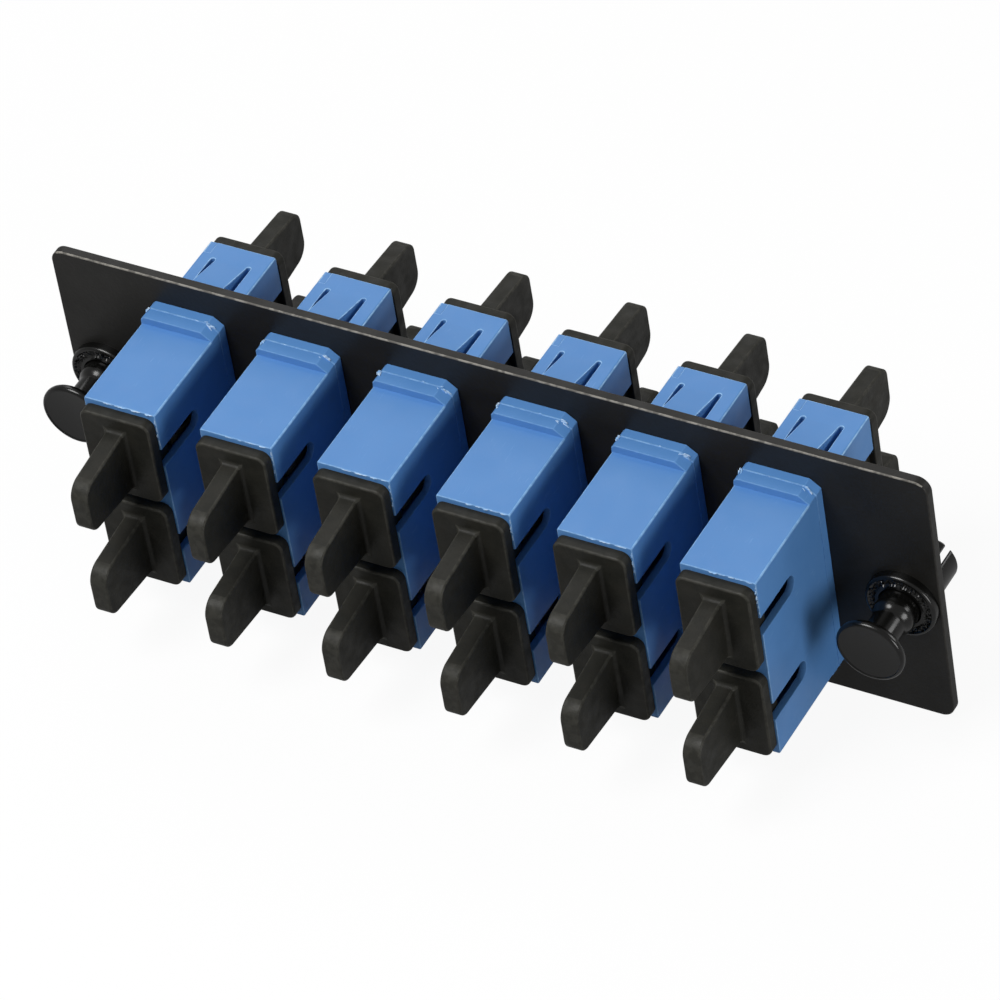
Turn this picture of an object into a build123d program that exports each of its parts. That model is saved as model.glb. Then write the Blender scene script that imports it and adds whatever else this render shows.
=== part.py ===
from build123d import *
from math import radians, tan
import os

os.makedirs("parts", exist_ok=True)

# Fibre adapter plate: a steel plate that carries six duplex adapters side by side, each port
# closed by a dust cap at the front and at the rear, and two push-pull latches at its ends.
# Sizes are millimetres. X runs along the plate, Y from its front to its rear and Z up.
# The origin is the centre of the plate's rear face.

# Plate
plate_height = 34.5
plate_thickness = 1.2
plate_margin = 4.45
plate_corner = 1.6
window_clearance = 0.1
window_corner = 0.5

# Row of adapters
adapter_count = 6
adapter_pitch = 14.65
row_z = 0.1
port_pitch = 12.7

# Port, one size at the front and at the rear
port_width = 7.44
port_height = 9.1
port_x = -0.1
keyway_width = 2.4
keyway_length = 7.6

# Front shell, with the half of the flange that it brings
front_width = 9.0
front_step = 0.2
front_length = 15.5
front_flange = 1.6
front_edge = 0.25

# Flange that seats on the plate, both halves alike
flange_rise = 0.975
flange_chamfer = 1.3
flange_corner = 0.4

# Rear shell, with its half of the flange
rear_width = 8.55
rear_height = 24.9
rear_length = 10.75
rear_flange = 1.3
rear_edge = 0.35
rear_draft = 0.4

# Snap tongues of the rear shell
tongue_x = -0.1
tongue_width = 4.0
tongue_slot = 0.55
tongue_root = 8.3
tongue_gap = 0.25
wedge_start = 7.9
wedge_crest = 2.4
wedge_height = 1.2
ledge_width = 1.0
ledge_length = 1.8
ledge_depth = 0.12

# Alignment sleeves
sleeve_radius = 1.6
sleeve_bore = 1.25
sleeve_length = 11.4
sleeve_slit = 0.5
sleeve_clearance = 0.08

# Sleeve holders, two halves to a port, each with two latch hooks
holder_flange = 1.2
holder_step = 0.45
holder_clearance = 0.06
holder_radius = 2.2
holder_lip = 0.35
holder_lip_bore = 1.4
hook_width = 3.0
hook_length = 8.2
hook_thickness = 0.8
hook_offset = 3.4
hook_tip = 0.35
hook_tip_length = 0.9

# Dust caps
cap_width = 8.8
cap_height = 11.4
cap_thickness = 1.45
cap_corner = 1.1
spigot_clearance = 0.08
spigot_wall = 0.7
spigot_depth = 2.4
tube_clearance = 0.1
tube_wall = 0.5
tube_depth = 9.0
fin_thickness = 2.16
fin_reach = 8.8
fin_top = 3.8
fin_bottom = 4.1
fin_top_angle = 7.0
fin_bottom_angle = 4.0
fin_top_nose = 2.2
fin_bottom_nose = 1.4

# Push-pull latches
latch_gap = 4.075
left_latch_z = 0.35
right_latch_z = -1.0
neck_radius = 3.5
neck_clearance = 0.05
barrel_radius = 3.0
barrel_length = 6.5
barrel_chamfer = 0.8
grommet_radius = 4.2
grommet_flange = 1.1
grommet_edge = 0.3
leg_slot = 0.8
stem_radius = 2.4
stem_clearance = 0.06
stem_tip = 0.6
stem_end = 0.2
knob_radius = 4.0
knob_thickness = 0.95
knob_edge = 0.25
knob_dish = 0.12
knob_rim = 0.45
knob_cone = 0.7
knob_reach = 8.46
left_push = 0.6

# Sizes that follow from the ones above
front_height = rear_height + 2 * front_step
flange_height = front_height + 2 * flange_rise
row_end = (adapter_count - 1) / 2 * adapter_pitch + front_width / 2
latch_x = row_end + latch_gap + grommet_radius
latches = {"left": (-latch_x, left_latch_z, left_push), "right": (latch_x, right_latch_z, 0)}
plate_length = 2 * (latch_x + plate_margin)

# Places along Y that several pieces share
plate_front = -plate_thickness
weld_y = plate_front - rear_flange
front_mouth = plate_front - front_length
rear_mouth = rear_length
front_depth = weld_y - front_mouth
rear_depth = rear_mouth - weld_y
columns = [(i - (adapter_count - 1) / 2) * adapter_pitch for i in range(adapter_count)]
port_rows = {"upper": port_pitch / 2, "lower": -port_pitch / 2}


def save(part, name):
    """Label a finished piece and write it to its own file."""
    part.label = name
    export_step(part, f"parts/{name}.step")


def plane_at(y):
    """Plane across the plate's thickness direction at y, its normal towards the front."""
    return Plane.XZ.offset(-y)


# Plate, with a window for each adapter and a hole for each latch
with BuildPart() as plate:
    with BuildSketch(Plane.XZ):
        RectangleRounded(plate_length, plate_height, plate_corner)
        with Locations(*[(x, row_z) for x in columns]):
            RectangleRounded(
                rear_width + 2 * window_clearance,
                rear_height + 2 * window_clearance,
                window_corner,
                mode=Mode.SUBTRACT,
            )
        with Locations(*[(x, z) for x, z, _ in latches.values()]):
            Circle(neck_radius + neck_clearance, mode=Mode.SUBTRACT)
    extrude(amount=plate_thickness)
save(plate.part, "plate")


# Outline of the flange: cut corners on the keyway side and small ones opposite
with BuildSketch() as flange_outline:
    side = front_width / 2
    top = flange_height / 2
    drop = (flange_height - front_height) / 2
    with BuildLine():
        Polyline(
            (-side, top - flange_corner),
            (-side + flange_corner, top),
            (side - flange_chamfer, top),
            (side, top - drop),
            (side, drop - top),
            (side - flange_chamfer, -top),
            (flange_corner - side, -top),
            (-side, flange_corner - top),
            close=True,
        )
    make_face()

# Outline of the two ports, and of the seats of their sleeve holders
with BuildSketch() as ports_outline:
    with Locations(*[(port_x, z) for z in port_rows.values()]):
        Rectangle(port_width, port_height)
with BuildSketch() as seats_outline:
    with Locations(*[(port_x, z) for z in port_rows.values()]):
        Rectangle(port_width, port_height + 2 * holder_step)

# Front shell: the half in front of the weld line
with BuildPart() as front_shell:
    with BuildSketch(plane_at(weld_y)):
        RectangleRounded(front_width, front_height, front_edge)
    extrude(amount=front_depth)
    with BuildSketch(plane_at(weld_y)):
        add(flange_outline.sketch)
    extrude(amount=front_flange)
    with BuildSketch(plane_at(weld_y)):
        add(ports_outline.sketch)
    extrude(amount=front_depth, mode=Mode.SUBTRACT)
    with BuildSketch(plane_at(weld_y)):
        add(seats_outline.sketch)
    extrude(amount=holder_flange, mode=Mode.SUBTRACT)
    with BuildSketch(Plane.YZ.offset(port_x)):
        with Locations(*[(front_mouth, z) for z in port_rows.values()]):
            SlotOverall(2 * keyway_length, keyway_width)
    extrude(amount=front_width / 2 - port_x, mode=Mode.SUBTRACT)

# Outline that frees a snap tongue: a slot along each side and a gap at its free end
with BuildSketch() as tongue_outline:
    slot_length = tongue_root + tongue_gap
    for side in (1, -1):
        slot_x = tongue_x + side * (tongue_width + tongue_slot) / 2
        with Locations((slot_x, tongue_root - slot_length / 2)):
            SlotOverall(slot_length, tongue_slot, rotation=90)
    with Locations((tongue_x, 0)):
        Rectangle(tongue_width + tongue_slot, 2 * tongue_gap)

# Rear shell: its flange half in front of the plate and its body through the window
with BuildPart() as rear_shell:
    with BuildSketch(plane_at(weld_y)):
        add(flange_outline.sketch)
    extrude(amount=-rear_flange)
    with BuildSketch(plane_at(plate_front)):
        RectangleRounded(rear_width, rear_height, rear_edge)
    extrude(amount=-plate_thickness)
    with BuildSketch(plane_at(0)):
        RectangleRounded(rear_width, rear_height, rear_edge)
    extrude(amount=-rear_length, taper=rear_draft)
    for side in (1, -1):
        crest = side * (rear_height / 2 + wedge_height)
        surface = side * (rear_height / 2 - wedge_start * tan(radians(rear_draft)))
        skin = side * (rear_height / 2 - rear_edge)
        with BuildSketch(Plane.YZ.offset(tongue_x - tongue_width / 2)):
            with BuildLine():
                Polyline(
                    (tongue_gap, skin),
                    (tongue_gap, crest),
                    (wedge_crest, crest),
                    (wedge_start, surface),
                    (wedge_start, skin),
                    close=True,
                )
            make_face()
        extrude(amount=tongue_width)
    with BuildSketch(plane_at(weld_y)):
        add(ports_outline.sketch)
    extrude(amount=-rear_depth, mode=Mode.SUBTRACT)
    with BuildSketch(plane_at(weld_y)):
        add(seats_outline.sketch)
    extrude(amount=-holder_flange, mode=Mode.SUBTRACT)
    with BuildSketch(Plane.YZ.offset(port_x)):
        with Locations(*[(rear_mouth, z) for z in port_rows.values()]):
            SlotOverall(2 * keyway_length, keyway_width)
    extrude(amount=rear_width / 2 - port_x, mode=Mode.SUBTRACT)
    wall_top = rear_height / 2 + wedge_height
    wall_bottom = port_pitch / 2 + port_height / 2
    for start in (-wall_top, wall_bottom):
        with BuildSketch(Plane.XY.offset(start)):
            add(tongue_outline.sketch)
        extrude(amount=wall_top - wall_bottom, mode=Mode.SUBTRACT)
    with Locations((-rear_width / 2, rear_mouth, rear_height / 2)):
        Box(2 * ledge_width, 2 * ledge_length, 2 * ledge_depth, mode=Mode.SUBTRACT)

# Sleeve holder half: seat flange, barrel with an inner lip, and two latch hooks
with BuildPart() as holder:
    with BuildSketch(Plane.XZ):
        Rectangle(
            port_width - 2 * holder_clearance,
            port_height + 2 * holder_step - 2 * holder_clearance,
        )
    extrude(amount=holder_flange)
    with BuildSketch(Plane.XZ):
        Circle(holder_radius)
    extrude(amount=sleeve_length / 2 + sleeve_clearance + holder_lip)
    with BuildSketch(Plane.XZ):
        Circle(sleeve_radius + sleeve_clearance)
    extrude(amount=sleeve_length / 2 + sleeve_clearance, mode=Mode.SUBTRACT)
    with BuildSketch(Plane.XZ):
        Circle(holder_lip_bore)
    extrude(amount=hook_length, mode=Mode.SUBTRACT)
    with BuildSketch(Plane.YZ.offset(-hook_width / 2)):
        with BuildLine():
            Polyline(
                (0, hook_offset),
                (hook_tip_length - hook_length, hook_offset),
                (hook_tip_length - hook_length, hook_offset - hook_tip),
                (-hook_length, hook_offset),
                (-hook_length, hook_offset + hook_thickness),
                (0, hook_offset + hook_thickness),
                close=True,
            )
        make_face()
        mirror(about=Plane.XZ)
    extrude(amount=hook_width)

# Alignment sleeve: a split tube
with BuildPart() as sleeve:
    with BuildSketch(plane_at(sleeve_length / 2)):
        Circle(sleeve_radius)
        Circle(sleeve_bore, mode=Mode.SUBTRACT)
        with Locations((sleeve_radius, 0)):
            Rectangle(2 * (sleeve_radius - sleeve_bore) + sleeve_slit, sleeve_slit, mode=Mode.SUBTRACT)
    extrude(amount=sleeve_length)

# Dust cap: a flange over the mouth, a spigot in it, a tube over the holder's barrel and a
# grip fin outside. The rear caps are put in the other way up.
with BuildPart() as cap:
    with BuildSketch(Plane.XZ):
        RectangleRounded(cap_width, cap_height, cap_corner)
    extrude(amount=cap_thickness)
    spigot_width = port_width - 2 * spigot_clearance
    spigot_height = port_height - 2 * spigot_clearance
    with BuildSketch(Plane.XZ):
        Rectangle(spigot_width, spigot_height)
        Rectangle(spigot_width - 2 * spigot_wall, spigot_height - 2 * spigot_wall, mode=Mode.SUBTRACT)
    extrude(amount=-spigot_depth)
    tube_bore = holder_radius + tube_clearance
    with BuildSketch(Plane.XZ):
        Circle(tube_bore + tube_wall)
        Circle(tube_bore, mode=Mode.SUBTRACT)
    extrude(amount=-tube_depth)
    with BuildSketch(Plane.YZ.offset(-fin_thickness / 2)):
        with BuildLine():
            Polyline(
                (0, fin_top),
                (-cap_thickness, fin_top),
                (-cap_thickness - fin_reach, fin_top - fin_reach * tan(radians(fin_top_angle))),
                (-cap_thickness - fin_reach, fin_reach * tan(radians(fin_bottom_angle)) - fin_bottom),
                (-cap_thickness, -fin_bottom),
                (0, -fin_bottom),
                close=True,
            )
        make_face()
        nose = vertices().sort_by(Axis.X)[:2].sort_by(Axis.Y)
        fillet(nose[-1], fin_top_nose)
        nose = vertices().sort_by(Axis.X)[:3].sort_by(Axis.Y)
        fillet(nose[0], fin_bottom_nose)
    extrude(amount=fin_thickness)

for number, x in enumerate(columns, start=1):
    with BuildPart() as placed_front:
        with Locations((x, 0, row_z)):
            add(front_shell.part)
    save(placed_front.part, f"front_shell_{number}")

    with BuildPart() as placed_rear:
        with Locations((x, 0, row_z)):
            add(rear_shell.part)
    save(placed_rear.part, f"rear_shell_{number}")

    seats = [Pos(x + port_x, weld_y, row_z + z) for z in port_rows.values()]
    halves = [seat * turn * holder.part for seat in seats for turn in (Rot(0, 0, 0), Rot(0, 0, 180))]
    save(Compound(children=halves), f"sleeve_holders_{number}")

    with BuildPart() as placed_sleeves:
        for z in port_rows.values():
            with Locations((x + port_x, weld_y, row_z + z)):
                add(sleeve.part)
    save(placed_sleeves.part, f"sleeves_{number}")

    for row, z in port_rows.items():
        with BuildPart() as placed_cap:
            with Locations((x + port_x, front_mouth, row_z + z)):
                add(cap.part)
        save(placed_cap.part, f"front_cap_{number}_{row}")

        with BuildPart() as placed_cap:
            with Locations((x + port_x, rear_mouth, row_z + z)):
                add(cap.part, rotation=(180, 0, 0))
        save(placed_cap.part, f"rear_cap_{number}_{row}")

# Latch grommet: flange on the plate's front, neck through the plate and four legs behind it
with BuildPart() as grommet:
    with BuildSketch(plane_at(plate_front)):
        Circle(grommet_radius)
    extrude(amount=grommet_flange)
    fillet(edges().group_by(Axis.Y)[0], grommet_edge)
    with BuildSketch(plane_at(plate_front)):
        Circle(neck_radius)
    extrude(amount=-plate_thickness)
    with BuildSketch(plane_at(0)):
        Circle(barrel_radius)
    extrude(amount=-barrel_length)
    chamfer(edges().group_by(Axis.Y)[-1], barrel_chamfer)
    with BuildSketch(plane_at(plate_front - grommet_flange)):
        Circle(stem_radius + stem_clearance)
    extrude(amount=-grommet_flange - plate_thickness - barrel_length, mode=Mode.SUBTRACT)
    with BuildSketch(plane_at(0)):
        Rectangle(4 * barrel_radius, leg_slot, rotation=45)
        Rectangle(leg_slot, 4 * barrel_radius, rotation=45)
    extrude(amount=-barrel_length, mode=Mode.SUBTRACT)

# Latch plunger, pulled out: a dished knob, a cone behind it and the stem in the barrel
knob_front = plate_front - knob_reach
stem_tip_y = stem_end
with BuildPart() as plunger:
    with BuildSketch(Plane.XY):
        with BuildLine():
            Polyline(
                (0, knob_front + knob_dish),
                (knob_radius - knob_rim, knob_front + knob_dish),
                (knob_radius - knob_rim + knob_dish, knob_front),
                (knob_radius, knob_front),
                (knob_radius, knob_front + knob_thickness),
                (stem_radius, knob_front + knob_thickness + knob_cone),
                (stem_radius, stem_tip_y - stem_tip),
                (stem_radius - stem_tip, stem_tip_y),
                (0, stem_tip_y),
                close=True,
            )
        make_face()
        fillet(vertices().group_by(Axis.X)[-1], knob_edge)
    revolve(axis=Axis.Y)

for name, (x, z, push) in latches.items():
    with BuildPart() as placed_grommet:
        with Locations((x, 0, z)):
            add(grommet.part)
    save(placed_grommet.part, f"latch_grommet_{name}")

    with BuildPart() as placed_plunger:
        with Locations((x, push, z)):
            add(plunger.part)
    save(placed_plunger.part, f"latch_plunger_{name}")
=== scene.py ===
import logging
import math
import random
from dataclasses import dataclass, field
from enum import Enum
from typing import Callable, Iterable

import bmesh
import bpy
from mathutils import Matrix, Vector


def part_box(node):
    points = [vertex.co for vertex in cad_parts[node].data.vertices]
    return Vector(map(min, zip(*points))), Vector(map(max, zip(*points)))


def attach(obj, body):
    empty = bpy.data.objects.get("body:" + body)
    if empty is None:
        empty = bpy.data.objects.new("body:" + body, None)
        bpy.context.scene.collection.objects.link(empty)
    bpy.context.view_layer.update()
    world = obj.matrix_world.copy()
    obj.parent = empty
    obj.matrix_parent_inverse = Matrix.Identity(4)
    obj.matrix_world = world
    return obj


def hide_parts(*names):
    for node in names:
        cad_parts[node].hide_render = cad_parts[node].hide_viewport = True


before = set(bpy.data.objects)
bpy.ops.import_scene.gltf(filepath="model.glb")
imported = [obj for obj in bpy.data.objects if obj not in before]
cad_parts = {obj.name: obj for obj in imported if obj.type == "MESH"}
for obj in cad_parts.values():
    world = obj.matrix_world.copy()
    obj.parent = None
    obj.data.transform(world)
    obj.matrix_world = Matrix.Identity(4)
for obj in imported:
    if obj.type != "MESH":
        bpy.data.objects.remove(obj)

logging.basicConfig(level=logging.INFO, format="%(message)s")
LOG = logging.getLogger("fibre_adapter_plate")

# Lengths are in metres, but NEAR is in millimetres, for meshes that are built in them
MM = 0.001
MERGE = 2e-6
TINY = 1e-7
NEAR = 1e-4
FLAT = math.radians(0.6)
SHARP = math.radians(32)
NORMAL_WEIGHT = 60
EDGE_MARK = "edge_mark"
CARRIER = "adapter_plate"
ADAPTERS = 6
DIGITS = 4
FEWEST_TEARS = 3
FLASH_SEED = 40
PEBBLE_SEED = 7
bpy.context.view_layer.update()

# Where a noise pattern starts to show and where it shows in full
MOTTLE_BAND = {"From Min": 0.35, "From Max": 0.65}
EDGE_BAND = {"From Min": 0.42, "From Max": 0.58}
GLOSS_BAND = {"From Min": 0.3, "From Max": 0.7}
STREAK_BAND = {"From Min": 0.66, "From Max": 0.74}
AREA_BAND = {"From Min": 0.5, "From Max": 0.66}


class Row(Enum):
    """The two ports of a duplex adapter."""

    UPPER = "upper"
    LOWER = "lower"


class Face(Enum):
    """The side of the plate that a cap closes, with the sign of its outward Y."""

    FRONT = -1
    REAR = 1

    @property
    def word(self) -> str:
        """The side's name as the nodes spell it."""
        return self.name.lower()


class End(Enum):
    """The end of the plate that carries a latch."""

    LEFT = "left"
    RIGHT = "right"


class Slot(Enum):
    """The record's material slots that the pieces of this scene take."""

    PLATE = "plate_black"
    ADAPTER = "adapter_blue"
    CAP = "cap_rubber"
    LATCH = "latch_black"


def linear(colour: str) -> tuple[float, float, float, float]:
    """Turn an sRGB hex colour into linear RGBA.

    Args:
        colour: Six hex digits, with or without a leading hash.

    Returns:
        The linear colour with an alpha of one.
    """
    digits = colour.lstrip("#")
    steps = (int(digits[i:i + 2], 16) / 255 for i in (0, 2, 4))
    channels = (s / 12.92 if s <= 0.04045 else ((s + 0.055) / 1.055) ** 2.4 for s in steps)
    return (*channels, 1.0)


def add_node(tree: bpy.types.NodeTree, kind: str, inputs: dict | None = None,
             **settings: object) -> bpy.types.Node:
    """Add one shader node with its settings and its links.

    Args:
        tree: The material's or the world's node tree.
        kind: The node's type name.
        inputs: A value or an output socket for each named or numbered input.
        **settings: Properties of the node itself.

    Returns:
        The new node.
    """
    node = tree.nodes.new(kind)
    for key, value in settings.items():
        setattr(node, key, value)
    for key, value in (inputs or {}).items():
        if isinstance(value, bpy.types.NodeSocket):
            tree.links.new(value, node.inputs[key])
        else:
            node.inputs[key].default_value = value
    return node


@dataclass(frozen=True)
class Finish:
    """A solid finish: mottled colour, marked edges in a paler colour that is partly a painted highlight and partly
    real wear, varied gloss and a fine grain.
    """

    name: str
    colour: str
    mottle_colour: str
    edge_colour: str
    roughness: float
    specular: float = 0.5
    ior: float = 1.5
    mottle_size: float = 4.0
    mottle_amount: float = 0.5
    gloss_change: float = 0.06
    gloss_size: float = 1.5
    grain_size: float = 0.15
    grain_height: float = 0.01
    edge_amount: float = 0.7
    edge_break: float = 0.0
    edge_size: float = 0.8

    def material(self) -> bpy.types.Material:
        """Make the finish's material, or find it when it is there.

        Returns:
            The material.
        """
        found = bpy.data.materials.get(self.name)
        if found is None:
            found = bpy.data.materials.new(self.name)
            found.use_nodes = True
            found.diffuse_color = linear(self.colour)
            self.wire(found.node_tree)
        return found

    def wire(self, tree: bpy.types.NodeTree) -> None:
        """Build the finish's nodes.

        Args:
            tree: The new material's node tree.
        """
        tree.nodes.clear()
        place = add_node(tree, "ShaderNodeTexCoord").outputs["Object"]
        shader = add_node(tree, "ShaderNodeBsdfPrincipled",
                          {"IOR": self.ior, "Specular IOR Level": self.specular,
                           "Base Color": self.tint(tree, place), "Roughness": self.gloss(tree, place),
                           "Normal": self.relief(tree, place)})
        add_node(tree, "ShaderNodeOutputMaterial", {"Surface": shader.outputs[0]})

    def tint(self, tree: bpy.types.NodeTree, place: bpy.types.NodeSocket) -> bpy.types.NodeSocket:
        """Mottled body colour with the edge colour over it, as a painted highlight along the marked edges that is
        partly real wear.

        Args:
            tree: The material's node tree.
            place: The Object coordinates.

        Returns:
            The colour socket.
        """
        blotches = add_node(tree, "ShaderNodeTexNoise",
                            {"Vector": place, "Scale": 1 / (self.mottle_size * MM), "Detail": 4.0}).outputs["Fac"]
        mottle = add_node(tree, "ShaderNodeMapRange",
                          {"Value": blotches, **MOTTLE_BAND, "To Max": self.mottle_amount}).outputs["Result"]
        body = add_node(tree, "ShaderNodeMix", {0: mottle, 6: linear(self.colour), 7: linear(self.mottle_colour)},
                        data_type="RGBA").outputs[2]
        # The edge colour paints a highlight along marked edges, partly real wear, broken up by noise.
        marked = add_node(tree, "ShaderNodeAttribute", attribute_name=EDGE_MARK).outputs["Fac"]
        edge_breakup = add_node(tree, "ShaderNodeTexNoise",
                          {"Vector": place, "Scale": 1 / (self.edge_size * MM), "Detail": 3.0}).outputs["Fac"]
        broken = add_node(tree, "ShaderNodeMapRange",
                          {"Value": edge_breakup, **EDGE_BAND, "To Min": self.edge_amount * (1 - self.edge_break),
                           "To Max": self.edge_amount}).outputs["Result"]
        amount = add_node(tree, "ShaderNodeMath", {0: marked, 1: broken}, operation="MULTIPLY").outputs[0]
        return add_node(tree, "ShaderNodeMix", {0: amount, 6: body, 7: linear(self.edge_colour)},
                        data_type="RGBA").outputs[2]

    def gloss(self, tree: bpy.types.NodeTree, place: bpy.types.NodeSocket) -> bpy.types.NodeSocket:
        """Roughness that changes a little over the surface.

        Args:
            tree: The material's node tree.
            place: The Object coordinates.

        Returns:
            The roughness socket.
        """
        patches = add_node(tree, "ShaderNodeTexNoise",
                           {"Vector": place, "Scale": 1 / (self.gloss_size * MM), "Detail": 3.0}).outputs["Fac"]
        return add_node(tree, "ShaderNodeMapRange",
                        {"Value": patches, **GLOSS_BAND, "To Min": self.roughness - self.gloss_change,
                         "To Max": self.roughness + self.gloss_change}).outputs["Result"]

    def relief(self, tree: bpy.types.NodeTree, place: bpy.types.NodeSocket) -> bpy.types.NodeSocket:
        """Fine grain as a bump.

        Args:
            tree: The material's node tree.
            place: The Object coordinates.

        Returns:
            The normal socket.
        """
        grain = add_node(tree, "ShaderNodeTexNoise",
                         {"Vector": place, "Scale": 1 / (self.grain_size * MM), "Detail": 2.0}).outputs["Fac"]
        return add_node(tree, "ShaderNodeBump",
                        {"Height": grain, "Distance": self.grain_height * MM, "Strength": 1.0}).outputs["Normal"]


@dataclass(frozen=True)
class ScuffedFinish(Finish):
    """A finish with fine handling scratches that run mostly one way."""

    scratch_colour: str = "#8FB6E2"
    scratch_amount: float = 0.35
    scratch_width: float = 0.12
    scratch_stretch: tuple[float, float, float] = (1.0, 0.06, 0.3)
    scratch_area: float = 3.2

    def tint(self, tree: bpy.types.NodeTree, place: bpy.types.NodeSocket) -> bpy.types.NodeSocket:
        """Body colour with pale scratches over it.

        Args:
            tree: The material's node tree.
            place: The Object coordinates.

        Returns:
            The colour socket.
        """
        body = super().tint(tree, place)
        drawn = add_node(tree, "ShaderNodeMapping", {"Vector": place, "Scale": self.scratch_stretch}).outputs[0]
        streaks = add_node(tree, "ShaderNodeTexNoise",
                           {"Vector": drawn, "Scale": 1 / (self.scratch_width * MM), "Detail": 1.0}).outputs["Fac"]
        thin = add_node(tree, "ShaderNodeMapRange",
                        {"Value": streaks, **STREAK_BAND, "To Max": self.scratch_amount}).outputs["Result"]
        areas = add_node(tree, "ShaderNodeTexNoise",
                         {"Vector": place, "Scale": 1 / (self.scratch_area * MM), "Detail": 2.0}).outputs["Fac"]
        patches = add_node(tree, "ShaderNodeMapRange", {"Value": areas, **AREA_BAND}).outputs["Result"]
        amount = add_node(tree, "ShaderNodeMath", {0: patches, 1: thin}, operation="MULTIPLY").outputs[0]
        return add_node(tree, "ShaderNodeMix", {0: amount, 6: body, 7: linear(self.scratch_colour)},
                        data_type="RGBA").outputs[2]


# Injection-moulded PBT, blue: an even satin plastic whose edges are painted pale, a painted highlight over some
# real stress whitening, with light handling marks
BLUE_PBT = ScuffedFinish(
    name="moulded_blue_pbt", colour="#5487C3", mottle_colour="#5A8CC7", edge_colour="#97C2EA",
    roughness=0.42, specular=0.25, ior=1.55, mottle_size=6.0, mottle_amount=0.6,
    grain_size=0.25, grain_height=0.006, edge_amount=0.5, edge_break=0.5, scratch_amount=0.22)

# Weld flash of the same PBT: thin torn slivers, so pale that they look almost white
WELD_FLASH = Finish(
    name="torn_pbt_weld_flash", colour="#CDE2F6", mottle_colour="#8DBBE8", edge_colour="#DDEBFA",
    roughness=0.5, mottle_size=0.5, mottle_amount=1.0, grain_size=0.1, grain_height=0.01)

# Sheet steel with a black polyester powder coat: fine orange peel, worn grey along the cut edges
POWDER_COAT = Finish(
    name="black_powder_coat_on_steel", colour="#191816", mottle_colour="#1F1E1C", edge_colour="#96928A",
    roughness=0.46, specular=0.26, mottle_size=9.0, mottle_amount=0.7, gloss_size=3.0,
    grain_size=0.45, grain_height=0.02, edge_amount=0.85, edge_break=0.6, edge_size=0.8)

# Moulded thermoplastic elastomer, charcoal: matt, slightly mottled, with paler edges and fin noses that are partly
# a painted sheen and partly rubbing
ELASTOMER = Finish(
    name="moulded_charcoal_elastomer", colour="#1E1E1A", mottle_colour="#262520", edge_colour="#4C4B45",
    roughness=0.52, specular=0.2, mottle_size=1.6, mottle_amount=0.8, gloss_change=0.1,
    grain_size=0.22, grain_height=0.02, edge_amount=0.4, edge_break=0.6, edge_size=0.7)

# Moulded nylon, black and polished: clear highlights on the knobs and on the pebbled flange, and a paler edge
# colour on the barrel that is partly a painted highlight and partly wear
GLOSS_NYLON = Finish(
    name="polished_black_nylon", colour="#070706", mottle_colour="#0C0C0B", edge_colour="#26262A",
    roughness=0.2, specular=0.36, ior=1.53, mottle_size=3.0, mottle_amount=0.5, gloss_change=0.05,
    grain_size=0.5, grain_height=0.004, edge_amount=0.4, edge_break=0.3)

# Moulded natural PBT: warm white sleeve holders
NATURAL_PBT = Finish(
    name="moulded_natural_pbt", colour="#E4E0D2", mottle_colour="#DCD6C4", edge_colour="#F0EDE4",
    roughness=0.4, mottle_size=2.0, grain_size=0.2, grain_height=0.008)

# Ground zirconia: smooth white ceramic split sleeves
ZIRCONIA = Finish(
    name="ground_zirconia", colour="#ECEAE4", mottle_colour="#E6E3DA", edge_colour="#F6F5F2",
    roughness=0.18, ior=2.1, gloss_change=0.04, mottle_size=1.5, grain_size=0.08, grain_height=0.003)


def merged_copy(node: str) -> bmesh.types.BMesh:
    """Copy a CAD node's triangles, merge them and make its flat faces whole.

    Args:
        node: The CAD node's name.

    Returns:
        The copy, which the caller frees.
    """
    bm = bmesh.new()
    bm.from_mesh(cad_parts[node].data)
    bm.faces.layers.float.new(EDGE_MARK)
    bmesh.ops.remove_doubles(bm, verts=bm.verts, dist=MERGE)
    bmesh.ops.dissolve_limit(bm, angle_limit=FLAT, verts=bm.verts, edges=bm.edges)
    return bm


def round_edges(bm: bmesh.types.BMesh, radius: float, segments: int,
                wanted: Callable[[Vector], bool] = lambda middle: True,
                mark: Callable[[Vector], float] = lambda middle: 1.0, outer: bool = True) -> None:
    """Round the sharp outer or inner edges of a mesh and mark the new faces.

    Args:
        bm: The mesh.
        radius: Width of the rounding in millimetres.
        segments: Faces across the rounding.
        wanted: Tells from an edge's middle, in millimetres, whether it is rounded.
        mark: Gives the edge mark of a new face from its middle, in millimetres.
        outer: Whether the outer edges are rounded or the inner ones.
    """
    layer = bm.faces.layers.float[EDGE_MARK]
    chosen = [e for e in bm.edges if e.is_manifold and e.is_convex == outer and e.calc_face_angle(0.0) > SHARP
              and wanted((e.verts[0].co + e.verts[1].co) / 2 / MM)]
    made = bmesh.ops.bevel(bm, geom=chosen, affect="EDGES", offset_type="OFFSET", offset=radius * MM,
                           segments=segments, profile=0.5, material=-1, clamp_overlap=False)
    for face in made["faces"]:
        face[layer] = mark(face.calc_center_median() / MM)


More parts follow.
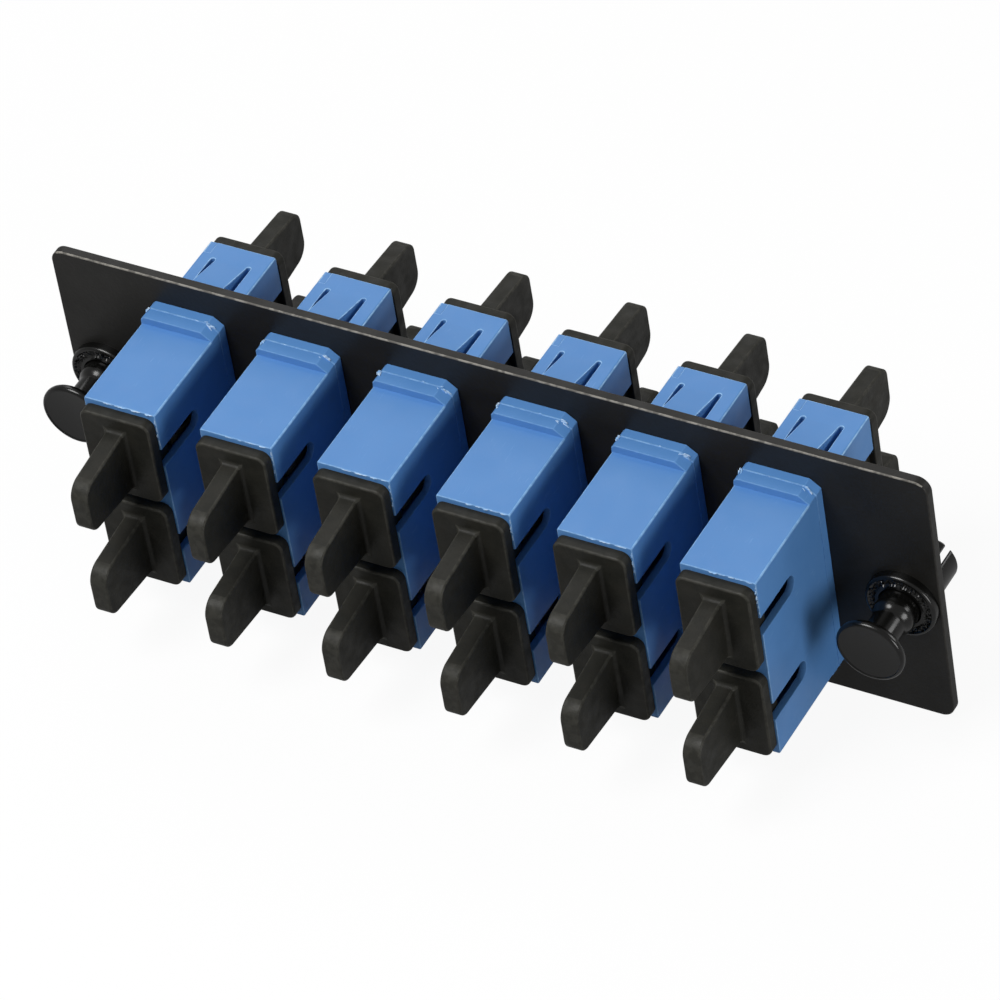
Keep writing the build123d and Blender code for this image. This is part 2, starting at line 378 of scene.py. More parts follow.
def ring(bm: bmesh.types.BMesh, profile: Iterable[tuple[float, float]], steps: int,
         centre: tuple[float, float]) -> list[bmesh.types.BMFace]:
    """Spin a profile about an axis that runs along Y.

    Args:
        bm: The mesh that takes the ring.
        profile: Points as radius and Y, in millimetres.
        steps: Faces round the ring.
        centre: X and Z of the axis, in millimetres.

    Returns:
        The ring's faces.
    """
    x, z = centre
    points = [bm.verts.new((x + radius, y, z)) for radius, y in profile]
    lines = [bm.edges.new(pair) for pair in zip(points, points[1:])]
    before = set(bm.faces)
    bmesh.ops.spin(bm, geom=points + lines, cent=(x, 0, z), axis=(0, 1, 0), angle=math.tau,
                   steps=steps, use_merge=True, use_duplicate=False)
    touched = {v for f in bm.faces if f not in before for v in f.verts}
    bmesh.ops.remove_doubles(bm, verts=[v for v in bm.verts if v in touched], dist=NEAR)
    return [f for f in bm.faces if f not in before]


@dataclass(frozen=True)
class Burr:
    """One kind of torn sliver: how many there are, and the ranges in millimetres that each one draws from.

    lean and forward are the X and Y of the direction in which a sliver stands up, where its Z is one.
    """

    count: int
    start_x: tuple[float, float]
    start_y: tuple[float, float] | None
    run_x: tuple[float, float]
    run_y: tuple[float, float]
    height: tuple[float, float]
    thickness: float
    pitch: float
    lean: float = 0.0
    forward: float = -0.2


# Curls at the left corner of the flange, one tear in the middle, a crest and slivers at the right corner
LEFT_CURLS = Burr(count=3, start_x=(-0.25, 0.0), start_y=(-0.2, 0.1), run_x=(-0.05, 0.15), run_y=(-0.9, -0.5),
                  height=(0.2, 0.36), thickness=0.12, pitch=0.2, lean=-0.5)
MIDDLE_TEAR = Burr(count=1, start_x=(2.5, 6.5), start_y=None, run_x=(0.3, 0.6), run_y=(-0.15, 0.15),
                   height=(0.12, 0.2), thickness=0.07, pitch=0.15)
RIGHT_CREST = Burr(count=2, start_x=(-0.5, 0.0), start_y=(-0.4, 0.1), run_x=(0.2, 0.5), run_y=(-0.3, 0.3),
                   height=(0.1, 0.2), thickness=0.07, pitch=0.15, forward=-0.3)
RIGHT_SLIVERS = Burr(count=4, start_x=(0.0, 0.45), start_y=(-0.3, 0.1), run_x=(0.35, 0.75), run_y=(-0.25, 0.25),
                     height=(0.16, 0.32), thickness=0.1, pitch=0.15)


@dataclass(frozen=True)
class TornLine:
    """A line of torn strips along an edge of the mouth, with the ranges in millimetres."""

    reach: tuple[float, float]
    step: tuple[float, float]
    gap: tuple[float, float]
    wobble: float
    lean: tuple[float, float]
    pitch: float


TOP_LINE = TornLine(reach=(5.0, 7.5), step=(0.7, 1.8), gap=(0.0, 0.35), wobble=0.04, lean=(0.0, 0.7), pitch=0.2)
SIDE_LINE = TornLine(reach=(3.0, 4.2), step=(0.4, 1.1), gap=(0.0, 0.3), wobble=0.05, lean=(-0.5, 0.3), pitch=0.18)

# How high a tear stands as a share of its strip, and how far it is shifted as a share of its length
TEAR_HEIGHT = (0.25, 1.0)
TEAR_SHIFT = (-0.3, 0.3)


def new_mesh() -> bmesh.types.BMesh:
    """Start an empty mesh that can take edge marks.

    Returns:
        The mesh, which the caller frees.
    """
    bm = bmesh.new()
    bm.faces.layers.float.new(EDGE_MARK)
    return bm


def torn_strip(bm: bmesh.types.BMesh, start: Vector, end: Vector, rise: Vector, height: float,
               rng: random.Random, thickness: float, pitch: float) -> None:
    """Add a thin torn strip of flash between two points.

    Args:
        bm: The mesh that takes the strip, in millimetres.
        start: Where the strip begins.
        end: Where it ends.
        rise: Direction in which it stands up.
        height: Its greatest height.
        rng: The seeded source of the tears.
        thickness: Thickness of the strip.
        pitch: Length of one tear.
    """
    run = end - start
    count = max(FEWEST_TEARS, round(run.length / pitch))
    before = set(bm.faces)
    made = bmesh.ops.create_grid(bm, x_segments=count, y_segments=1, size=0.5)["verts"]
    for vert in made:
        if vert.co.y > 0:
            taper = 1 - abs(2 * vert.co.x) ** 3
            vert.co.y = -0.5 + taper * rng.uniform(*TEAR_HEIGHT)
            vert.co.x += rng.uniform(*TEAR_SHIFT) / count
    along = run.normalized()
    up = (rise - along * rise.dot(along)).normalized()
    out = along.cross(up)
    turn = Matrix((along * run.length, up * height, out)).transposed().to_4x4()
    middle = (start + end) / 2 + up * height / 2
    bmesh.ops.transform(bm, matrix=Matrix.Translation(middle) @ turn, verts=made)
    sheet = [f for f in bm.faces if f not in before]
    bmesh.ops.solidify(bm, geom=sheet, thickness=thickness)


def finished_piece(bm: bmesh.types.BMesh, name: str, finish: Finish, body: str,
                   replaced: tuple[str, ...] = ()) -> bpy.types.Object:
    """Turn a mesh into a dressed piece that rides on its body.

    Args:
        bm: The mesh in metres, which is freed.
        name: The piece's name.
        finish: Its finish.
        body: The CAD body that it rides on.
        replaced: CAD nodes that it stands for.

    Returns:
        The piece.
    """
    for edge in bm.edges:
        edge.smooth = edge.is_manifold and edge.calc_face_angle(0.0) < SHARP
    mesh = bpy.data.meshes.new(name)
    bm.to_mesh(mesh)
    bm.free()
    mesh.polygons.foreach_set("use_smooth", [True] * len(mesh.polygons))
    mesh.materials.append(finish.material())
    piece = bpy.data.objects.new(name, mesh)
    bpy.context.scene.collection.objects.link(piece)
    even = piece.modifiers.new("even_normals", "WEIGHTED_NORMAL")
    even.weight = NORMAL_WEIGHT
    even.keep_sharp = True
    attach(piece, body)
    if replaced:
        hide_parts(*replaced)
    LOG.info("%s: %d faces, rides on %s", name, len(mesh.polygons), body)
    return piece


def dress_node(node: str, finish: Finish) -> None:
    """Give a carried CAD node its finish.

    Args:
        node: The CAD node's name.
        finish: The finish that all its slots take.
    """
    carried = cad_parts[node]
    for material_slot in carried.material_slots:
        material_slot.material = finish.material()


@dataclass
class SteelPlate:
    """The powder-coated plate with its windows, worn bright along its front top edge."""

    edge_radius: float = 0.16
    segments: int = 3
    rim: float = 0.4
    side_wear: float = 0.06

    def build(self) -> bpy.types.Object:
        """Copy the plate and break its edges, as coated sheet has them.

        Returns:
            The dressed plate.
        """
        low, high = (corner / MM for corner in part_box("plate"))
        middle_y = (low.y + high.y) / 2

        def wear(middle: Vector) -> float:
            """Tell how worn the coat is at a place on an edge.

            Args:
                middle: The place, in millimetres.

            Returns:
                The edge mark.
            """
            if middle.z > high.z - self.rim and middle.y < middle_y:
                return 1.0
            outside = max(abs(middle.x) - high.x, abs(middle.z) - high.z) > -self.rim
            return self.side_wear if outside else 0.0

        bm = merged_copy("plate")
        round_edges(bm, self.edge_radius, self.segments, mark=wear)
        return finished_piece(bm, "coated_plate", POWDER_COAT, CARRIER, ("plate",))


@dataclass
class DuplexAdapter:
    """One duplex adapter: two welded shells, the flash of the weld, and what the ports hold."""

    number: int
    shell_radius: float = 0.1
    segments: int = 2
    shell_height: float = 25.3
    row_z: float = 0.1
    port_z: float = 6.35
    keyway_reach: float = 1.45
    keyway_x: float = 3.4
    flange_reach: float = 1.7
    seam_reach: float = 0.3
    narrow: float = 0.12
    # How pale the shell's edges and seam are painted: a painted highlight over some real whitening.
    faint_mark: float = 0.15
    flange_mark: float = 0.5
    seam_marks: tuple[float, float] = (0.2, 1.1)
    slant: dict[Face, float] = field(default_factory=lambda: {Face.FRONT: 0.3, Face.REAR: 0.5})
    outer_mark: dict[Face, float] = field(default_factory=lambda: {Face.FRONT: 1.4, Face.REAR: 2.2})
    weld_y: float = -2.5
    bead_height: float = 0.035
    bead_width: float = 0.1
    bead_pitch: float = 0.4
    bead_depth: float = 0.35
    bead_share: tuple[float, float] = (0.2, 1.3)
    chamfer: float = 1.3
    small_corner: float = 0.4
    burr_sink: float = 0.02
    flash_height: tuple[float, float] = (0.1, 0.27)
    flash_inset: float = 0.12
    flash_sink: float = 0.03
    flash_thickness: float = 0.06
    mouth_corner: float = 0.35
    mouth_margin: float = 0.5
    rng: random.Random = field(init=False)

    def __post_init__(self) -> None:
        """Seed the tears of this adapter's flash."""
        self.rng = random.Random(FLASH_SEED + self.number)

    def build(self) -> list[bpy.types.Object]:
        """Build the shells, the weld and its flash, and dress what stays of the CAD model.

        Returns:
            The four pieces.
        """
        made = [self.shell(Face.FRONT), self.shell(Face.REAR), self.flash(), self.weld()]
        dress_node(f"sleeve_holders_{self.number}", NATURAL_PBT)
        dress_node(f"sleeves_{self.number}", ZIRCONIA)
        return made

    def shell(self, face: Face) -> bpy.types.Object:
        """Copy one shell and round its moulded edges.

        Args:
            face: Which half of the adapter.

        Returns:
            The shell.
        """
        node = f"{face.word}_shell_{self.number}"
        low, high = (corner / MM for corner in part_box(node))
        centre_x = (low.x + high.x) / 2
        slant, outer_mark = self.slant[face], self.outer_mark[face]

        def pale(middle: Vector) -> float:
            """Tell how pale an edge is painted, a painted highlight over some real whitening: the seam most, and
            the flange's and the keyways' other edges hardly.

            Args:
                middle: A place on the edge, in millimetres.

            Returns:
                The edge mark.
            """
            height = abs(abs(middle.z - self.row_z) - self.port_z)
            in_keyway = middle.x > centre_x + self.keyway_x and height < self.keyway_reach
            from_weld = abs(middle.y - self.weld_y)
            if from_weld < self.seam_reach:
                return self.seam_mark(middle.z, low.z, high.z)
            if in_keyway or from_weld < self.flange_reach - self.seam_reach:
                return self.faint_mark
            return self.flange_mark if from_weld < self.flange_reach else outer_mark

        bm = merged_copy(node)
        layer = bm.faces.layers.float[EDGE_MARK]
        # Narrow slanted faces between the top and a side, the model's small roundings, are painted pale as a
        # highlight line over some real whitening.
        for skin in bm.faces:
            across, deep, up = (abs(part) for part in skin.normal)
            width = skin.calc_area() / max(edge.calc_length() for edge in skin.edges)
            if min(up, max(across, deep)) > slant and width < self.narrow * MM:
                skin[layer] = pale(skin.calc_center_median() / MM)
        # The new rounding faces take the same painted highlight.
        round_edges(bm, self.shell_radius, self.segments, mark=pale)
        return finished_piece(bm, f"moulded_{node}", BLUE_PBT, CARRIER, (node,))

    def seam_mark(self, z: float, low: float, high: float) -> float:
        """How pale the seam is at a height: a painted highlight over the weld's real whitening, bright on top
        where light falls and faint below.

        Args:
            z: The height.
            low: Lowest height of the flange.
            high: Its highest.

        Returns:
            The edge mark.
        """
        lift = max(0.0, 2 * (z - low) / (high - low) - 1)
        faint, growth = self.seam_marks
        return faint + growth * lift ** 3

    def weld(self) -> bpy.types.Object:
        """Build the thin bead along the seam between the shells.

        Returns:
            The bead.
        """
        low, high = (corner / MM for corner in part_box(f"front_shell_{self.number}"))
        bm = new_mesh()
        self.bead(bm, low, high)
        # The bead is painted pale by height, a painted highlight that is brightest on top.
        layer = bm.faces.layers.float[EDGE_MARK]
        for face in bm.faces:
            face[layer] = self.seam_mark(face.calc_center_median().z, low.z, high.z)
        bmesh.ops.recalc_face_normals(bm, faces=bm.faces)
        bmesh.ops.scale(bm, vec=(MM,) * 3, verts=bm.verts)
        return finished_piece(bm, f"weld_bead_{self.number}", BLUE_PBT, CARRIER)

    def flash(self) -> bpy.types.Object:
        """Build the torn slivers at the flange's corners and the mouth.

        Returns:
            The slivers as one piece.
        """
        low, high = (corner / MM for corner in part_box(f"front_shell_{self.number}"))
        bm = new_mesh()
        self.corner_burrs(bm, low, high)
        self.mouth_flash(bm, low, high)
        bmesh.ops.recalc_face_normals(bm, faces=bm.faces)
        bmesh.ops.scale(bm, vec=(MM,) * 3, verts=bm.verts)
        return finished_piece(bm, f"weld_flash_{self.number}", WELD_FLASH, CARRIER)

    def bead(self, bm: bmesh.types.BMesh, low: Vector, high: Vector) -> None:
        """Add the thin uneven bead that stands out of the seam of the flange.

        Args:
            bm: The mesh of the bead, in millimetres.
            low: Lowest corner of the front shell.
            high: Its highest corner.
        """
        def place(vert: bmesh.types.BMVert) -> tuple[float, ...]:
            """Where a vertex is, rounded so that it can be looked up."""
            return tuple(round(part, DIGITS) for part in vert.co)

        cut, nick = self.chamfer, self.small_corner
        drop = (high.z - low.z - self.shell_height) / 2
        y = self.weld_y
        outline = [(low.x, y, high.z - nick), (low.x + nick, y, high.z), (high.x - cut, y, high.z),
                   (high.x, y, high.z - drop), (high.x, y, low.z + drop), (high.x - cut, y, low.z),
                   (low.x + nick, y, low.z), (low.x, y, low.z + nick)]
        face = bm.faces.new([bm.verts.new(point) for point in outline])
        for edge in list(face.edges):
            cuts = max(1, round(edge.calc_length() / self.bead_pitch)) - 1
            if cuts:
                bmesh.ops.subdivide_edges(bm, edges=[edge], cuts=cuts)
        edge_places = {place(vert) for vert in face.verts}
        bmesh.ops.inset_region(bm, faces=[face], thickness=self.bead_depth, use_boundary=True,
                               use_even_offset=True)
        bmesh.ops.delete(bm, geom=[face], context="FACES")
        centre = (low + high) / 2
        rim = [vert for vert in bm.verts if place(vert) in edge_places]
        for vert in rim:
            away = vert.co - centre
            over = max(0.0, abs(away.z) - self.shell_height / 2) / drop
            beside = max(0.0, abs(away.x) - (high.x - low.x) / 2 + cut) / cut
            side = Vector((math.copysign(beside, away.x), 0, math.copysign(over, away.z))).normalized()
            vert.co += side * self.bead_height * self.rng.uniform(*self.bead_share)
        made = bmesh.ops.extrude_face_region(bm, geom=list(bm.faces))
        back = [g for g in made["geom"] if isinstance(g, bmesh.types.BMVert)]
        bmesh.ops.translate(bm, vec=(0, self.bead_width, 0), verts=back)
        bmesh.ops.translate(bm, vec=(0, -self.bead_width / 2, 0), verts=list(bm.verts))

    def corner_burrs(self, bm: bmesh.types.BMesh, low: Vector, high: Vector) -> None:
        """Add the torn slivers along the top of the flange and at its two corners.

        Args:
            bm: The mesh of the flash, in millimetres.
            low: Lowest corner of the front shell.
            high: Its highest corner.
        """
        side = Vector((low.x, self.weld_y, high.z - self.burr_sink))
        left = side + Vector((self.small_corner, 0, 0))
        right = side + Vector((high.x - low.x - self.chamfer, 0, 0))
        slope = (high.z - low.z - self.shell_height) / 2 / self.chamfer
        self.burrs(bm, LEFT_CURLS, left)
        self.burrs(bm, MIDDLE_TEAR, side)
        self.burrs(bm, RIGHT_CREST, right)
        self.burrs(bm, RIGHT_SLIVERS, right, slope)

    def burrs(self, bm: bmesh.types.BMesh, kind: Burr, place: Vector, fall: float = 0.0) -> None:
        """Add all slivers of one kind.

        Args:
            bm: The mesh of the flash, in millimetres.
            kind: The kind of sliver.
            place: Where the kind starts.
            fall: How steeply the flange falls there towards the right.
        """
        draw = self.rng.uniform
        for _ in range(kind.count):
            along = draw(*kind.start_x)
            aside = draw(*kind.start_y) if kind.start_y else 0.0
            start = place + Vector((along, aside, -along * fall))
            end = start + Vector((draw(*kind.run_x), draw(*kind.run_y), 0))
            end.z -= (end.x - start.x) * fall
            torn_strip(bm, start, end, Vector((kind.lean + fall, kind.forward, 1)), draw(*kind.height),
                       self.rng, kind.thickness, kind.pitch)

    def mouth_flash(self, bm: bmesh.types.BMesh, low: Vector, high: Vector) -> None:
        """Add the torn line along the mouth's top edge and down its keyway side.

        Args:
            bm: The mesh of the flash, in millimetres.
            low: Lowest corner of the front shell.
            high: Its highest corner.
        """
        draw = self.rng.uniform
        top = (high.z + low.z + self.shell_height) / 2
        root = low.y + self.flash_sink
        forward = Vector((0, -1, 0))
        corner = high.x - self.mouth_corner
        line = TOP_LINE
        cursor = corner - draw(*line.reach)
        while cursor < high.x - self.mouth_margin:
            step = min(draw(*line.step), corner - cursor)
            start = Vector((cursor, root, top - self.flash_inset))
            end = start + Vector((step, 0, draw(-line.wobble, line.wobble)))
            torn_strip(bm, start, end, forward + Vector((0, 0, draw(*line.lean))),
                       draw(*self.flash_height), self.rng, self.flash_thickness, line.pitch)
            cursor += step + draw(*line.gap)
        line = SIDE_LINE
        drop = draw(*line.reach)
        cursor = self.mouth_margin
        while cursor < drop:
            step = draw(*line.step)
            start = Vector((high.x - self.flash_inset, root, top - cursor))
            end = start + Vector((draw(-line.wobble, line.wobble), 0, -step))
            torn_strip(bm, start, end, forward + Vector((draw(*line.lean), 0, 0)),
                       draw(*self.flash_height), self.rng, self.flash_thickness, line.pitch)
            cursor += step + draw(*line.gap)


@dataclass
class DustCap:
    """One dust cap with its flange and grip fin."""

    number: int
    face: Face
    row: Row
    outer_radius: float = 0.25
    root_radius: float = 0.5
    inner_radius: float = 0.08
    segments: int = 3
    inner_segments: int = 1
    rubbed_from: float = 6.3
    nose_mark: float = 0.8
    side_lean: float = 0.3
    outside_from: float = 0.3
    inside_to: float = 0.1

    def build(self) -> bpy.types.Object:
        """Copy the cap, round its outside broadly and its spigot a little.

        Returns:
            The cap.
        """
        node = f"{self.face.word}_cap_{self.number}_{self.row.value}"
        low, high = (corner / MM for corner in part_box(f"{self.face.word}_shell_{self.number}"))
        mouth = low.y if self.face is Face.FRONT else high.y
        bm = merged_copy(node)
        layer = bm.faces.layers.float[EDGE_MARK]

        def reach(middle: Vector) -> float:
            """How far a place stands out of the port's mouth."""
            return (middle.y - mouth) * self.face.value

        # The fin's nose and top, far out and not facing sideways, are painted paler: partly a painted sheen where
        # light falls, partly rubbing.
        for skin in bm.faces:
            middle = skin.calc_center_median() / MM
            if abs(skin.normal.x) < self.side_lean and abs(reach(middle)) > self.rubbed_from:
                skin[layer] = self.nose_mark
        round_edges(bm, self.root_radius, self.segments, lambda middle: reach(middle) > self.outside_from,
                    lambda middle: 0.0, outer=False)
        # Outer edges are painted pale, partly a painted highlight and partly rubbing.
        round_edges(bm, self.outer_radius, self.segments, lambda middle: reach(middle) > self.outside_from)
        round_edges(bm, self.inner_radius, self.inner_segments, lambda middle: reach(middle) < self.inside_to,
                    lambda middle: 0.0)
        return finished_piece(bm, f"moulded_{node}", ELASTOMER, node, (node,))


@dataclass
class PushPullLatch:
    """One push-pull latch: a grommet with a pebbled flange and a plunger with a dished knob."""

    end: End
    steps: int = 96
    flange_steps: int = 192
    flange_front: float = -2.3
    plate_front: float = -1.2
    flange_radius: float = 4.2
    rim_width: float = 0.42
    rim_rounding: float = 0.36
    rim_degrees: range = range(0, 91, 15)
    collar_radius: float = 2.95
    bore_radius: float = 2.46
    bore_chamfer: float = 0.1
    recess: float = 0.16
    recess_slope: float = 0.12
    collar_step: float = 0.05
    rim_step: float = 0.02
    pebble_height: float = 0.1
    pebble_rings: int = 7
    barrel_radius: float = 0.1
    barrel_segments: int = 2
    barrel_from: float = 0.3
    # How pale the barrel's edges are painted, partly a painted highlight.
    barrel_mark: float = 0.4
    cut_offset: float = 0.02
    neck_radius: float = 3.46
    overlap: float = 0.05
    knob_radius: float = 4.0
    knob_thickness: float = 0.95
    knob_cone: float = 0.7
    knob_rounding: float = 0.4
    knob_segments: int = 5
    dish: float = 0.26
    dish_rim: float = 0.45
    dish_lip: float = 0.12
    dish_flatness: float = 0.6
    dish_shares: tuple[float, ...] = (0.0, 0.2, 0.4, 0.6, 0.8, 0.92, 1.0)
    stem_radius: float = 2.4
    stem_tip: float = 0.6
    thin_stem: float = 1.95
    flare_start: float = 4.5
    flare_length: float = 1.3
    flare_parts: int = 8

    def build(self) -> list[bpy.types.Object]:
        """Build the grommet and the plunger."""
        return [self.grommet(), self.plunger()]

    def axis(self, node: str) -> tuple[float, float]:
        """X and Z of a round node's axis, in millimetres.

        Args:
            node: The CAD node's name.

        Returns:
            The middle of its box across Y.
        """
        low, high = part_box(node)
        return (low.x + high.x) / 2 / MM, (low.z + high.z) / 2 / MM

    def grommet(self) -> bpy.types.Object:
        """Keep the slit barrel and rebuild the flange with its rim, collar and pebbles.

        Returns:
            The grommet.
        """
        node = f"latch_grommet_{self.end.value}"
        centre = self.axis(node)
        bm = merged_copy(node)
        bmesh.ops.bisect_plane(bm, geom=list(bm.verts) + list(bm.edges) + list(bm.faces), dist=TINY,
                               plane_co=(0, (self.plate_front + self.cut_offset) * MM, 0), plane_no=(0, 1, 0),
                               clear_inner=True)
        open_edges = [e for e in bm.edges if e.is_boundary]
        bmesh.ops.bridge_loops(bm, edges=open_edges)
        # The barrel's rounded edges are painted slightly paler, partly a painted highlight.
        round_edges(bm, self.barrel_radius, self.barrel_segments, lambda middle: middle.y > self.barrel_from,
                    lambda middle: self.barrel_mark)
        bmesh.ops.scale(bm, vec=(1 / MM,) * 3, verts=bm.verts)
        self.flange(bm, centre)
        bmesh.ops.scale(bm, vec=(MM,) * 3, verts=bm.verts)
        return finished_piece(bm, f"pebbled_{node}", GLOSS_NYLON, CARRIER, (node,))

    def flange(self, bm: bmesh.types.BMesh, centre: tuple[float, float]) -> None:
        """Spin the flange and press the pebbles into its face.

        Args:
            bm: The mesh that takes it, in millimetres.
            centre: X and Z of the latch's axis.
        """
        front, back = self.flange_front, self.plate_front
        outer, inner = self.flange_radius - self.rim_width, self.collar_radius
        floor = front + self.recess
        slope = self.recess_slope
        pebbled = [(outer - slope - (outer - inner - 2 * slope) * i / (self.pebble_rings - 1), floor)
                   for i in range(self.pebble_rings)]
        inside = back + self.overlap
        rim = [(self.flange_radius - self.rim_rounding * (1 - math.sin(lean)),
                front + self.rim_rounding * (1 - math.cos(lean))) for lean in map(math.radians, self.rim_degrees)]
        profile = [(self.bore_radius, inside), (self.bore_radius, front + self.bore_chamfer),
                   (self.bore_radius + self.bore_chamfer, front), (inner - self.collar_step, front),
                   *reversed(pebbled), (outer + self.rim_step, front), *rim,
                   (self.flange_radius, back), (self.neck_radius, back), (self.neck_radius, inside),
                   (self.bore_radius, inside)]
        made = ring(bm, profile, self.flange_steps, centre)
        bmesh.ops.recalc_face_normals(bm, faces=made)
        rng = random.Random(PEBBLE_SEED)
        for vert in sorted({v for f in made for v in f.verts}, key=lambda v: tuple(v.co)):
            radius = math.hypot(vert.co.x - centre[0], vert.co.z - centre[1])
            if inner + slope / 2 < radius < outer - slope / 2 and abs(vert.co.y - floor) < NEAR:
                vert.co.y += rng.uniform(-1, 1) * self.pebble_height

    def plunger(self) -> bpy.types.Object:
        """Spin the knob, its cone and the stem, and round the knob's edges.

        Returns:
            The plunger.
        """
        node = f"latch_plunger_{self.end.value}"
        low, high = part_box(node)
        front, tip = low.y / MM, high.y / MM
        centre = self.axis(node)
        back = front + self.knob_thickness
        dished = [(self.knob_radius - self.dish_rim) * share for share in self.dish_shares]
        sunk = [front + self.dish * (1 - self.dish_flatness * share ** 2) for share in self.dish_shares]
        growth = self.stem_radius - self.thin_stem
        flare = [(self.thin_stem + growth * math.sin(math.pi / 2 * share) ** 2,
                  front + self.flare_start + self.flare_length * share)
                 for share in (i / self.flare_parts for i in range(self.flare_parts + 1))]
        profile = [*zip(dished, sunk), (self.knob_radius - self.dish_rim + self.dish_lip, front),
                   (self.knob_radius, front), (self.knob_radius, back),
                   (self.thin_stem, back + self.knob_cone), *flare,
                   (self.stem_radius, tip - self.stem_tip), (self.stem_radius - self.stem_tip, tip), (0.0, tip)]
        bm = new_mesh()
        made = ring(bm, profile, self.steps, centre)
        bmesh.ops.recalc_face_normals(bm, faces=made)
        bmesh.ops.scale(bm, vec=(MM,) * 3, verts=bm.verts)
        reach = (self.knob_radius - self.overlap) * MM
        x, z = (value * MM for value in centre)
        rims = [e for e in bm.edges if all(math.hypot(v.co.x - x, v.co.z - z) > reach for v in e.verts)
                and abs(e.verts[0].co.y - e.verts[1].co.y) < TINY]
        bmesh.ops.bevel(bm, geom=rims, affect="EDGES", offset_type="OFFSET", offset=self.knob_rounding * MM,
                        segments=self.knob_segments, profile=0.5, material=-1, clamp_overlap=False)
        return finished_piece(bm, f"turned_{node}", GLOSS_NYLON, node, (node,))


@dataclass(frozen=True)
class Softbox:
    """A round soft light that looks at the object: its place and width in metres, its power in watts."""

    name: str
    place: tuple[float, float, float]
    width: float
    power: float

    def build(self) -> bpy.types.Object:
        """Make the light and turn it to the object.

        Returns:
            The light.
        """
        data = bpy.data.lights.new(self.name, "AREA")
        data.shape, data.energy, data.size = "DISK", self.power, self.width
        lamp = bpy.data.objects.new(self.name, data)
        lamp.location = self.place
        lamp.rotation_euler = (-Vector(self.place)).to_track_quat("-Z", "Y").to_euler()
        bpy.context.scene.collection.objects.link(lamp)
        return lamp


SOFTBOXES = (Softbox("key_softbox", (-0.18, -0.28, 0.55), 0.36, 3.6),
             Softbox("side_softbox", (0.66, -0.20, 0.13), 0.34, 1.9),
             Softbox("right_rear_softbox", (0.55, 0.45, 0.25), 0.28, 0.8),
             Softbox("rear_softbox", (-0.30, 0.42, 0.48), 0.45, 0.9))


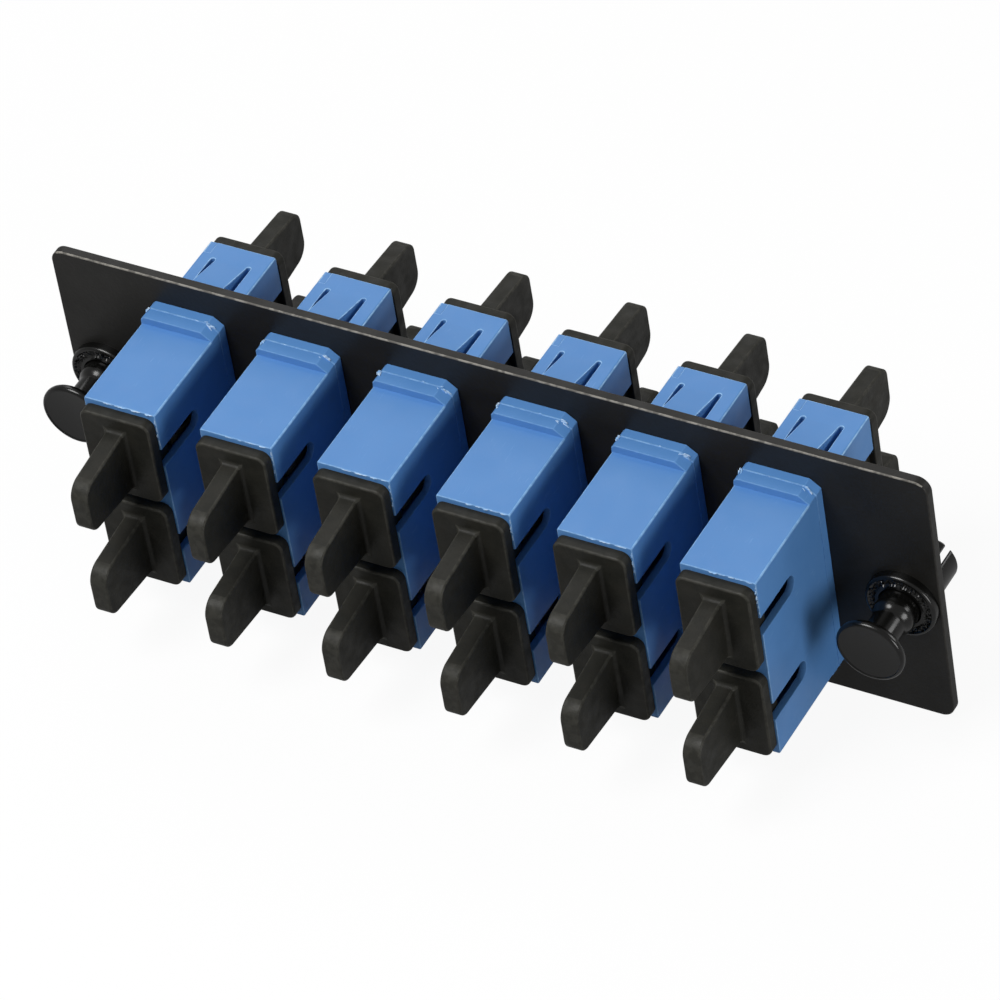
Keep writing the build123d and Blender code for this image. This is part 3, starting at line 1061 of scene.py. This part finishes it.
@dataclass
class Studio:
    """Pale floor, soft lights and the camera."""

    floor_z: float = -17.3
    floor_side: float = 3000.0
    aim: tuple[float, float, float] = (0.57, -1.93, -2.05)
    distance: float = 831.55
    azimuth: float = 35.13
    elevation: float = 42.88
    roll: float = -10.04
    lens: float = 275.08
    sensor: float = 36.0
    clip: tuple[float, float] = (0.05, 10.0)
    ambient: float = 0.12
    shadow_share: float = 0.07
    mirrored_share: float = 0.32
    cloud_size: float = 40.0
    paper_tones: tuple[str, str] = ("#F8F8F8", "#FAFAFA")
    paper_bounce: str = "#909090"

    def build(self) -> None:
        """Make the stage, the lights, the world and the camera."""
        bpy.context.scene.view_settings.view_transform = "Standard"
        self.floor()
        self.world()
        for softbox in SOFTBOXES:
            softbox.build()
        self.camera()

    def seen_directly(self, tree: bpy.types.NodeTree) -> bpy.types.NodeSocket:
        """One for camera rays, and a part of it for glossy and transmission rays.

        Args:
            tree: The node tree of the floor or of the world.

        Returns:
            The share, clamped to one.
        """
        path = add_node(tree, "ShaderNodeLightPath").outputs
        bent = add_node(tree, "ShaderNodeMath", {0: path["Is Glossy Ray"], 1: path["Is Transmission Ray"]},
                        operation="ADD", use_clamp=True)
        weak = add_node(tree, "ShaderNodeMath", {0: bent.outputs[0], 1: self.mirrored_share}, operation="MULTIPLY")
        return add_node(tree, "ShaderNodeMath", {0: weak.outputs[0], 1: path["Is Camera Ray"]},
                        operation="ADD", use_clamp=True).outputs[0]

    def floor(self) -> bpy.types.Object:
        """Lay a sheet of white paper that keeps a soft shadow.

        Returns:
            The sheet.
        """
        bm = bmesh.new()
        bmesh.ops.create_grid(bm, x_segments=1, y_segments=1, size=self.floor_side * MM / 2)
        bmesh.ops.translate(bm, vec=(0, 0, self.floor_z * MM), verts=bm.verts)
        mesh = bpy.data.meshes.new("paper_floor")
        bm.to_mesh(mesh)
        bm.free()
        sheet = bpy.data.objects.new("paper_floor", mesh)
        bpy.context.scene.collection.objects.link(sheet)
        mesh.materials.append(self.paper())
        return sheet

    def paper(self) -> bpy.types.Material:
        """Mix matt white paper: it shows white, darker near the object, and lights the object weakly.

        Returns:
            The material.
        """
        material = bpy.data.materials.new("matt_white_paper")
        material.use_nodes = True
        tree = material.node_tree
        tree.nodes.clear()
        place = add_node(tree, "ShaderNodeTexCoord").outputs["Object"]
        clouds = add_node(tree, "ShaderNodeTexNoise",
                          {"Vector": place, "Scale": 1 / (self.cloud_size * MM)}).outputs["Fac"]
        darker, lighter = map(linear, self.paper_tones)
        tone = add_node(tree, "ShaderNodeMix", {0: clouds, 6: darker, 7: lighter}, data_type="RGBA").outputs[2]
        seen = add_node(tree, "ShaderNodeLightPath").outputs["Is Camera Ray"]
        shown = add_node(tree, "ShaderNodeMix", {0: seen, 6: linear(self.paper_bounce), 7: tone},
                         data_type="RGBA").outputs[2]
        lit = add_node(tree, "ShaderNodeBsdfDiffuse", {"Color": shown})
        white = add_node(tree, "ShaderNodeEmission", {"Color": (1, 1, 1, 1), "Strength": 1.0})
        share = add_node(tree, "ShaderNodeMath", {0: self.seen_directly(tree), 1: 1 - self.shadow_share},
                         operation="MULTIPLY").outputs[0]
        mixed = add_node(tree, "ShaderNodeMixShader", {0: share, 1: lit.outputs[0], 2: white.outputs[0]})
        add_node(tree, "ShaderNodeOutputMaterial", {"Surface": mixed.outputs[0]})
        return material

    def world(self) -> None:
        """Plain white surroundings that light the object weakly and show as white."""
        world = bpy.data.worlds.new("white_studio")
        bpy.context.scene.world = world
        world.use_nodes = True
        tree = world.node_tree
        tree.nodes.clear()
        weak = add_node(tree, "ShaderNodeBackground", {"Color": (1, 1, 1, 1), "Strength": self.ambient})
        plain = add_node(tree, "ShaderNodeBackground", {"Color": (1, 1, 1, 1), "Strength": 1.0})
        mixed = add_node(tree, "ShaderNodeMixShader",
                         {0: self.seen_directly(tree), 1: weak.outputs[0], 2: plain.outputs[0]})
        add_node(tree, "ShaderNodeOutputWorld", {"Surface": mixed.outputs[0]})

    def camera(self) -> None:
        """The camera at the photograph's place, turned a little about its own axis."""
        turn, lift, roll = (math.radians(a) for a in (self.azimuth, self.elevation, self.roll))
        back = Vector((math.sin(turn) * math.cos(lift), -math.cos(turn) * math.cos(lift), math.sin(lift)))
        level = Vector((math.cos(turn), math.sin(turn), 0))
        upright = back.cross(level)
        right = level * math.cos(roll) + upright * math.sin(roll)
        up = upright * math.cos(roll) - level * math.sin(roll)
        data = bpy.data.cameras.new("photograph_camera")
        data.lens, data.sensor_width, data.sensor_fit = self.lens, self.sensor, "HORIZONTAL"
        data.clip_start, data.clip_end = self.clip
        camera = bpy.data.objects.new("photograph_camera", data)
        eye = (Vector(self.aim) + back * self.distance) * MM
        camera.matrix_world = Matrix.Translation(eye) @ Matrix((right, up, back)).transposed().to_4x4()
        bpy.context.scene.collection.objects.link(camera)
        bpy.context.scene.camera = camera


def main() -> None:
    """Build every sub-assembly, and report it."""
    SteelPlate().build()
    LOG.info("plate built")
    for number in range(1, ADAPTERS + 1):
        adapter = DuplexAdapter(number)
        made = adapter.build()
        made += [DustCap(number, face, row).build() for face in Face for row in Row]
        LOG.info("adapter %d built of %d pieces", number, len(made))
    for end in End:
        made = PushPullLatch(end).build()
        LOG.info("%s latch built of %d pieces", end.value, len(made))
    Studio().build()


if __name__ == "__main__":
    main()
